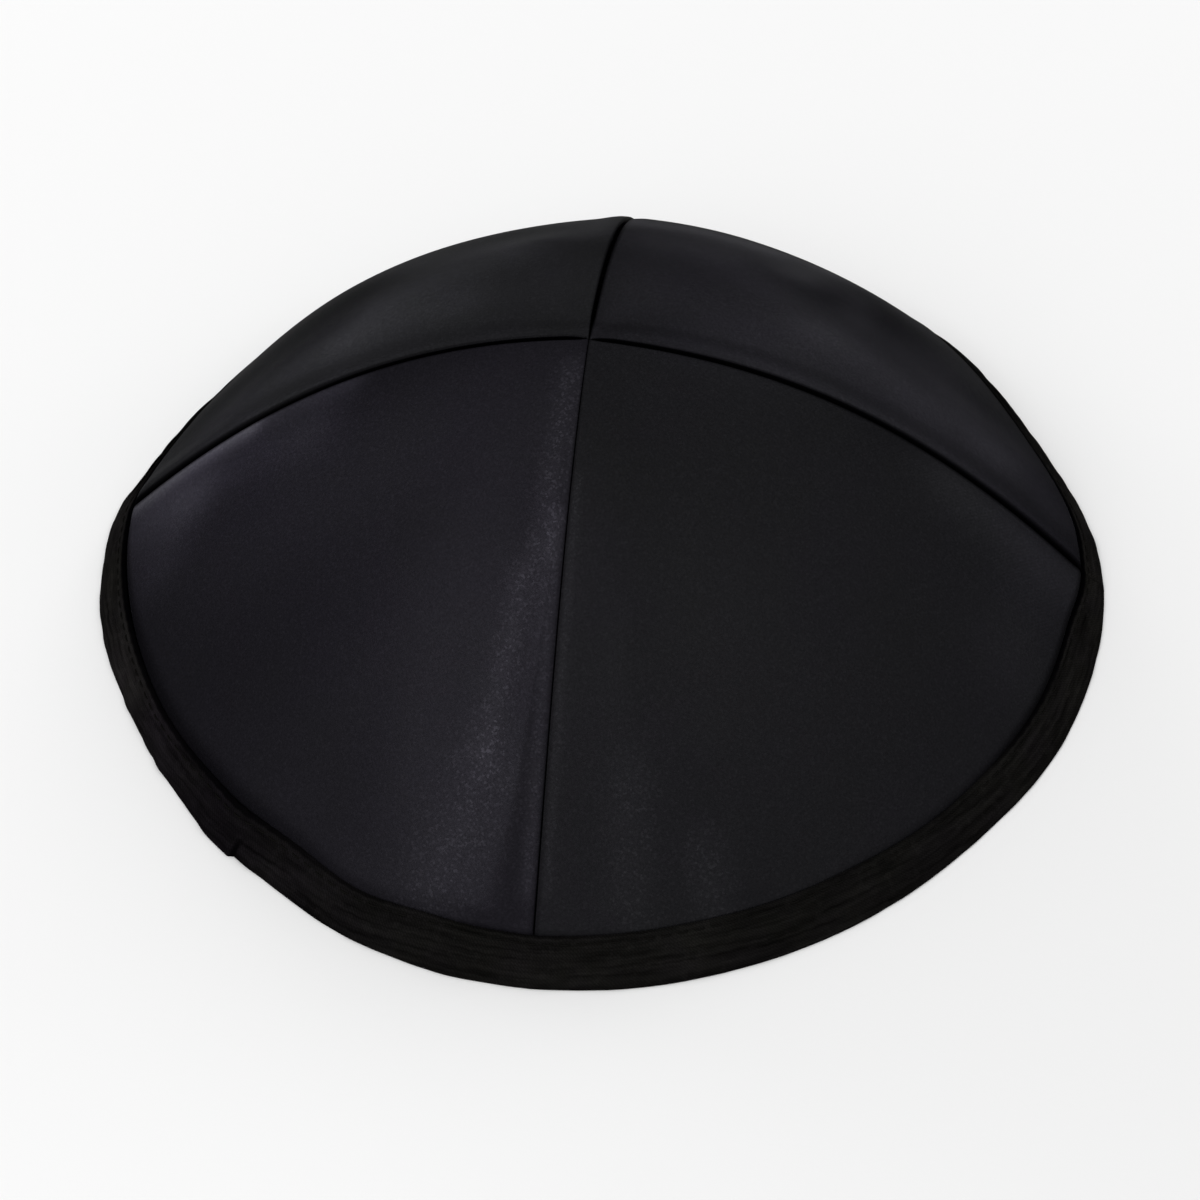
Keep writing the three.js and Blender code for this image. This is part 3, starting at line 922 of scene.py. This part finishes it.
def scaled(tree, vector, factor):
    """A vector or a colour times a factor."""
    return add_node(tree, "ShaderNodeVectorMath", {0: vector, "Scale": factor}, operation="SCALE")[0]


def mixed(tree, factor, one, other):
    """A colour between two, by a factor."""
    inputs = {"Factor": factor, "A": one, "B": other}
    return add_node(tree, "ShaderNodeMix", inputs, data_type="RGBA")["Result"]


def bump(tree, strength, depth, height, **below):
    """A Bump node's normal."""
    inputs = {"Strength": strength, "Distance": depth, "Height": height, **below}
    return add_node(tree, "ShaderNodeBump", inputs)[0]


def mesh_mark(tree, name):
    """One of the marks that the mesh carries at its points."""
    return add_node(tree, "ShaderNodeAttribute", attribute_name=name)["Fac"]


def cloth_uv(tree):
    """The piece's own flat map, in metres."""
    return add_node(tree, "ShaderNodeUVMap", uv_map="cloth")[0]


def socket_kind(name):
    """The kind of a group's socket, which follows from its name."""
    return {"Vector": "NodeSocketVector", "Color": "NodeSocketColor"}.get(name, "NodeSocketFloat")


def new_group(name, inputs, outputs):
    """A shader node group with named sockets: its tree, its inputs' sockets and its output node."""
    group = bpy.data.node_groups.new(name, "ShaderNodeTree")
    for socket, default in inputs.items():
        made = group.interface.new_socket(name=socket, in_out="INPUT", socket_type=socket_kind(socket))
        if default is not None:
            made.default_value = default
    for socket in outputs:
        group.interface.new_socket(name=socket, in_out="OUTPUT", socket_type=socket_kind(socket))
    return group, group.nodes.new("NodeGroupInput").outputs, group.nodes.new("NodeGroupOutput")


def woven_threads(name):
    """Threads of a weave: a ripple across each warp thread, broken where a weft thread passes over it."""
    inputs = {"Vector": None, "Threads per metre": 4000.0, "Float length": 5.0, "Step": 0.4}
    group, given, out = new_group(name, inputs, ["Height"])
    wander_scale, wander_width, break_sharpness = 0.21, 1.6, 7.0
    threads = scaled(group, given["Vector"], given["Threads per metre"])
    wander = maths(group, "SUBTRACT", noise(group, threads, wander_scale, 1.0), 0.5)
    parts = add_node(group, "ShaderNodeSeparateXYZ", {0: threads})
    x = maths(group, "MULTIPLY_ADD", wander, wander_width, parts["X"])
    ripple = maths(group, "ABSOLUTE", maths(group, "SINE", maths(group, "MULTIPLY", x, math.pi)))
    shift = maths(group, "MULTIPLY", maths(group, "FLOOR", x), given["Step"])
    y = maths(group, "ADD", maths(group, "DIVIDE", parts["Y"], given["Float length"]), shift)
    place = maths(group, "ABSOLUTE", maths(group, "SUBTRACT", maths(group, "FRACT", y), 0.5))
    crossing = maths(group, "SUBTRACT", 1.0, maths(group, "MULTIPLY", place, break_sharpness))
    crossing = maths(group, "MAXIMUM", crossing, 0.0)
    height = maths(group, "MULTIPLY", ripple, maths(group, "SUBTRACT", 1.0, crossing))
    fill(group, out, {"Height": height})
    return group


def cloth_mottle(name):
    """Soft patches at one size, finer ones inside them, and small painted glints."""
    group, given, out = new_group(
        name, {"Vector": None, "Patch scale": 60.0, "Grain scale": 1400.0}, ["Patches", "Grain", "Glints"]
    )
    patches = noise(group, given["Vector"], given["Patch scale"], detail=3.0, roughness=0.55)
    inputs = {"Vector": given["Vector"], "Scale": given["Grain scale"]}
    cells = add_node(group, "ShaderNodeTexVoronoi", inputs)
    bright = add_node(group, "ShaderNodeSeparateColor", {0: cells["Color"]})[0]
    fill(group, out, {
        "Patches": map_range(group, patches, from_min=0.35, from_max=0.65),
        "Grain": noise(group, given["Vector"], given["Grain scale"], detail=2.0, roughness=0.6),
        "Glints": map_range(group, bright, from_min=0.72, from_max=1.0),
    })
    return group


def dark_crevice(name):
    """Paints shade into cloth: its colour goes to black, and with it all that it reflects."""
    group, given, out = new_group(name, {"Color": None, "Crevice": 0.0}, ["Color"])
    # the colour of full painted shade
    black = (0.0010, 0.0009, 0.0012, 1)
    fill(group, out, {"Color": mixed(group, given["Crevice"], given["Color"], black)})
    return group


def thread_speckle(name):
    """Varies a cloth's colour from thread to thread and paints light into it: lighter and darker by one
    pattern, and bright at the glints.

    The colour is multiplied by 1, plus its amount times the pattern's distance from a half, plus its own
    amount times the glints. The glints are painted glints or painted highlights, and the pattern is grain,
    creases, weave or painted light and shade.
    """
    inputs = {"Color": None, "Pattern": 0.5, "Pattern amount": 0.5, "Glints": 0.0, "Glint amount": 0.5}
    group, given, out = new_group(name, inputs, ["Color"])
    swing = maths(group, "SUBTRACT", given["Pattern"], 0.5)
    factor = maths(group, "MULTIPLY_ADD", swing, given["Pattern amount"], 1.0)
    factor = maths(group, "MULTIPLY_ADD", given["Glints"], given["Glint amount"], factor)
    fill(group, out, {"Color": scaled(group, given["Color"], factor)})
    return group


def use_group(tree, make, inputs):
    """The outputs of a group, which is built once and has the name of the function that makes it."""
    group = bpy.data.node_groups.get(make.__name__) or make(make.__name__)
    return add_node(tree, "ShaderNodeGroup", inputs, node_tree=group)


def weave_height(tree, vector, threads_per_metre, float_length, step):
    """The height of a weave's threads, by the weave group."""
    inputs = {"Vector": vector, "Threads per metre": threads_per_metre, "Float length": float_length}
    return use_group(tree, woven_threads, {**inputs, "Step": step})["Height"]


def mottled(tree, patch_scale, grain_scale):
    """The outputs of the mottle group, laid out in Object coordinates."""
    place = add_node(tree, "ShaderNodeTexCoord")["Object"]
    inputs = {"Vector": place, "Patch scale": patch_scale, "Grain scale": grain_scale}
    return use_group(tree, cloth_mottle, inputs)


def speckled(tree, shade, pattern=0.5, amount=0.0, glints=0.0, glint_amount=0.0):
    """A colour put through the speckle and painted light group."""
    inputs = {"Color": shade, "Pattern": pattern, "Pattern amount": amount, "Glints": glints}
    return use_group(tree, thread_speckle, {**inputs, "Glint amount": glint_amount})["Color"]


def creviced(tree, shade):
    """A colour put through the painted shade group, which the mesh's own painted shade mark feeds."""
    return use_group(tree, dark_crevice, {"Color": shade, "Crevice": mesh_mark(tree, "crevice")})["Color"]


def new_material(name):
    """An empty material and its node tree."""
    material = bpy.data.materials.new(name)
    material.use_nodes = True
    material.node_tree.nodes.clear()
    return material, material.node_tree


def principled(tree, shade, roughness, normal, metallic=0.0, specular=0.0, tint=1.0):
    """The material's own Principled shader, joined to its output.

    Cloth is partly metallic with a dulled edge, so that it shines but isn't white where it is seen edge on.
    """
    inputs = {
        "Base Color": shade,
        "Roughness": roughness,
        "Normal": normal,
        "Metallic": metallic,
        "Specular IOR Level": specular,
        "Specular Tint": (tint, tint, tint, 1),
    }
    shader = add_node(tree, "ShaderNodeBsdfPrincipled", inputs)
    add_node(tree, "ShaderNodeOutputMaterial", {"Surface": shader[0]})


def satin_material(colours):
    """Near-black satin: long warp floats, painted glints and painted highlights, painted shade, soft violet
    patches, and a dull back.
    """
    material, tree = new_material("black_satin")
    weave = weave_height(tree, cloth_uv(tree), threads_per_metre=7000.0, float_length=7.0, step=0.375)
    mottle = mottled(tree, patch_scale=42.0, grain_scale=2800.0)
    patches = maths(tree, "MULTIPLY", mottle["Patches"], 0.25)
    cast = maths(tree, "MULTIPLY_ADD", mesh_mark(tree, "violet"), 0.75, patches)
    shade = mixed(tree, cast, (*colours.satin_plain, 1), (*colours.satin, 1))
    gleam = maths(tree, "MINIMUM", maths(tree, "MULTIPLY", mesh_mark(tree, "glitter"), PAINTED_HIGHLIGHT_FULL), 1.0)
    # Plain satin has 0.8 of the grain and 0.2 of the painted glints; under painted glitter it has 1.5 and
    # 1.6.
    grain = maths(tree, "MULTIPLY_ADD", gleam, 0.7, 0.8)
    glints = maths(tree, "MULTIPLY_ADD", gleam, 1.4, 0.2)
    shade = speckled(tree, shade, mottle["Grain"], grain, mottle["Glints"], glints)
    # painted highlights brighten the colour along the table's marks
    shade = speckled(tree, shade, glints=mesh_mark(tree, "shine"), glint_amount=PAINTED_HIGHLIGHT_FULL)
    rough = map_range(tree, mesh_mark(tree, "cloth_back"), to_min=0.42, to_max=0.75)
    woven = bump(tree, 0.3, 0.03 * MM, weave)
    normal = bump(tree, 0.5, 0.05 * MM, mottle["Grain"], Normal=woven)
    principled(tree, creviced(tree, shade), rough, normal, metallic=0.6, tint=0.16)
    return material


def tape_material(colours):
    """Duller bias tape: a plain weave at 45 degrees to the rim, pressed creases along it, violet patches, and
    painted light and shade round the rim.
    """
    material, tree = new_material("bias_tape_cloth")
    cloth = cloth_uv(tree)
    turned = add_node(tree, "ShaderNodeMapping", {"Vector": cloth, "Rotation": (0, 0, math.radians(45))})[0]
    drawn_out = add_node(tree, "ShaderNodeMapping", {"Vector": cloth, "Scale": (0.09, 1, 1)})[0]
    weave = weave_height(tree, turned, threads_per_metre=2500.0, float_length=2.0, step=0.5)
    mottle = mottled(tree, patch_scale=130.0, grain_scale=1100.0)
    creases = noise(tree, drawn_out, scale=900.0, detail=3.0, roughness=0.6)
    patches = maths(tree, "MULTIPLY", mottle["Patches"], 0.3)
    cast = maths(tree, "MULTIPLY_ADD", mesh_mark(tree, "violet"), 0.7, patches)
    shade = mixed(tree, cast, (*colours.tape, 1), (*colours.tape_violet, 1))
    shade = speckled(tree, shade, creases, 2.6, mottle["Glints"], 0.25)
    shade = speckled(tree, shade, weave, 0.35)
    # painted light and shade round the rim
    shade = speckled(tree, shade, mesh_mark(tree, "light"), TONE_FULL)
    woven = bump(tree, 0.6, 0.08 * MM, weave)
    normal = bump(tree, 0.7, 0.15 * MM, creases, Normal=woven)
    principled(tree, creviced(tree, shade), 0.62, normal, metallic=0.5, tint=0.3)
    return material


def thread_material(colours):
    """Black sewing thread: a fine twist along each stitch."""
    material, tree = new_material("sewing_thread")
    inputs = {"Vector": cloth_uv(tree), "Scale": 600.0, "Distortion": 0.5}
    twist = add_node(tree, "ShaderNodeTexWave", inputs, bands_direction="DIAGONAL")["Fac"]
    normal = bump(tree, 0.6, 0.03 * MM, twist)
    principled(tree, (*colours.thread, 1), 0.6, normal, metallic=0.5, tint=0.2)
    return material


def floor_material(colours):
    """A plain pale floor with a very soft tooth."""
    material, tree = new_material("studio_floor")
    place = add_node(tree, "ShaderNodeTexCoord")["Object"]
    normal = bump(tree, 0.15, 0.05 * MM, noise(tree, place, scale=900.0, detail=2.0))
    principled(tree, (*colours.floor, 1), 0.85, normal, specular=0.2)
    return material


def mesh_area(piece):
    """A mesh's whole surface in square metres."""
    areas = np.zeros(len(piece.data.polygons), np.float32)
    piece.data.polygons.foreach_get("area", areas)
    return float(areas.sum())


def dress(piece, material, node):
    """Gives a piece its material and its body, and lets it stand for its node."""
    piece.data.materials.append(material)
    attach(piece, "root")
    if node:
        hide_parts(node)


class CAP_OT_sew_panels(bpy.types.Operator):
    """Makes the four satin gores that meet at the crown"""

    bl_idname = "cap.sew_panels"
    bl_label = "Sew the panels"

    def execute(self, context):
        scene = context.scene
        material = satin_material(scene.cap_colours)
        for gore, row in enumerate(GORES):
            piece = make_gore(scene.cap_sizes, scene.cap_tape, gore)
            dress(piece, material, "panel_" + row.name)
            cut = (column(SEAMS, "reach").mean() * QUARTER, 106 * MM)
            mesh_area(piece) / 2
        return {"FINISHED"}


class CAP_OT_bind_rim(bpy.types.Operator):
    """Folds the bias tape round the rim"""

    bl_idname = "cap.bind_rim"
    bl_label = "Bind the rim"

    def execute(self, context):
        scene = context.scene
        piece = make_tape(scene.cap_sizes, scene.cap_tape, scene.cap_stitches)
        dress(piece, tape_material(scene.cap_colours), "rim_binding")
        return {"FINISHED"}


class CAP_OT_stitch(bpy.types.Operator):
    """Stitches the tape to the rim and the panels to each other"""

    bl_idname = "cap.stitch"
    bl_label = "Stitch the cap"

    def execute(self, context):
        scene = context.scene
        thread = thread_material(scene.cap_colours)
        for make, slot in ((rim_stitches, "bias_tape"), (seam_threads, "satin")):
            piece = make(scene.cap_sizes, scene.cap_tape, scene.cap_stitches)
            dress(piece, thread, None)
        return {"FINISHED"}


class CAP_OT_set_stage(bpy.types.Operator):
    """Lays the pale floor and places the lamps and the camera"""

    bl_idname = "cap.set_stage"
    bl_label = "Set the stage"

    def execute(self, context):
        lay_floor(context.scene)
        for row in LAMPS:
            place_lamp(context.scene, row)
        place_camera(context.scene)
        light_studio(context.scene)
        return {"FINISHED"}


def cap_centre():
    """The crown's axis on the table: half of the difference between the front and back reach."""
    reach = {row.name: row.reach for row in SEAMS}
    return Vector((0, (reach["front"] - reach["back"]) / 2, 0))


def lay_floor(scene):
    """A wide square floor at the rim's level."""
    mesh = bpy.data.meshes.new("studio_floor")
    corners = np.array([(-1, -1, 0), (1, -1, 0), (1, 1, 0), (-1, 1, 0)], float) * FLOOR_SIDE / 2
    mesh.from_pydata(corners, [], [(0, 1, 2, 3)])
    floor = bpy.data.objects.new("studio_floor", mesh)
    scene.collection.objects.link(floor)
    mesh.materials.append(floor_material(scene.cap_colours))


def face_cap(scene, name, data, azimuth, elevation, distance, roll=0.0):
    """A lamp or camera that faces the cap. Azimuth 0 is in front of it, and a quarter turn at its right."""
    level = math.cos(elevation)
    towards = Vector((math.sin(azimuth) * level, -math.cos(azimuth) * level, math.sin(elevation)))
    turned = (-towards).to_track_quat("-Z", "Y").to_matrix() @ Matrix.Rotation(-roll, 3, "Z")
    thing = bpy.data.objects.new(name, data)
    thing.location = cap_centre() + towards * distance
    thing.rotation_mode = "QUATERNION"
    thing.rotation_quaternion = turned.to_quaternion()
    scene.collection.objects.link(thing)
    return thing


def place_lamp(scene, row):
    """A square area lamp that faces the cap."""
    light = bpy.data.lights.new(row.name, "AREA")
    light.size, light.energy = LAMP_SIDE, row.watts
    azimuth, elevation = math.radians(row.azimuth_deg), math.radians(row.elevation_deg)
    face_cap(scene, row.name, light, azimuth, elevation, LAMP_DISTANCE)


def place_camera(scene):
    """The photograph's camera: its place, its focal length, its roll and the shift of its picture."""
    camera = bpy.data.cameras.new("camera")
    camera.sensor_width = 36.0
    camera.lens = camera.sensor_width * FOCAL_PIXELS / PICTURE_PIXELS
    camera.clip_start, camera.clip_end = 0.01, 20
    camera.shift_x = 0.5 - CENTRE_PIXELS[0] / PICTURE_PIXELS
    camera.shift_y = CENTRE_PIXELS[1] / PICTURE_PIXELS - 0.5
    scene.camera = face_cap(scene, "camera", camera, VIEW_AZIMUTH, VIEW_ELEVATION, VIEW_DISTANCE, VIEW_ROLL)


def light_studio(scene):
    """A white studio all round, shown as it is."""
    scene.world = scene.world or bpy.data.worlds.new("studio")
    scene.world.use_nodes = True
    background = scene.world.node_tree.nodes["Background"]
    background.inputs["Color"].default_value = (1, 1, 1, 1)
    background.inputs["Strength"].default_value = TENT_LIGHT
    scene.view_settings.view_transform = "Standard"


class CAP_PT_sewing(bpy.types.Panel):
    """Lists the cap's sizes, colours and steps"""

    bl_idname = "CAP_PT_sewing"
    bl_label = "Satin skullcap"
    bl_space_type = "VIEW_3D"
    bl_region_type = "UI"
    bl_category = "Cap"

    def draw(self, context):
        for group in SETTINGS:
            settings = getattr(context.scene, group)
            box = self.layout.box()
            for name in settings.__annotations__:
                box.prop(settings, name)
        for step in STEPS:
            self.layout.operator(step.bl_idname)


SETTINGS = {
    "cap_sizes": CapSizes,
    "cap_tape": TapeSizes,
    "cap_stitches": StitchSizes,
    "cap_colours": ClothColours,
}
STEPS = (CAP_OT_sew_panels, CAP_OT_bind_rim, CAP_OT_stitch, CAP_OT_set_stage)
CLASSES = (*SETTINGS.values(), *STEPS, CAP_PT_sewing)


def register():
    """Registers the classes and gives the scene its settings."""
    for entry in CLASSES:
        bpy.utils.register_class(entry)
    for name, group in SETTINGS.items():
        setattr(bpy.types.Scene, name, bpy.props.PointerProperty(type=group))


def unregister():
    """Takes the settings and the classes away again."""
    for name in SETTINGS:
        delattr(bpy.types.Scene, name)
    for entry in reversed(CLASSES):
        bpy.utils.unregister_class(entry)


def main():
    """Runs every step in order."""
    register()
    bpy.ops.cap.sew_panels()
    bpy.ops.cap.bind_rim()
    bpy.ops.cap.stitch()
    bpy.ops.cap.set_stage()


if __name__ == "__main__":
    main()
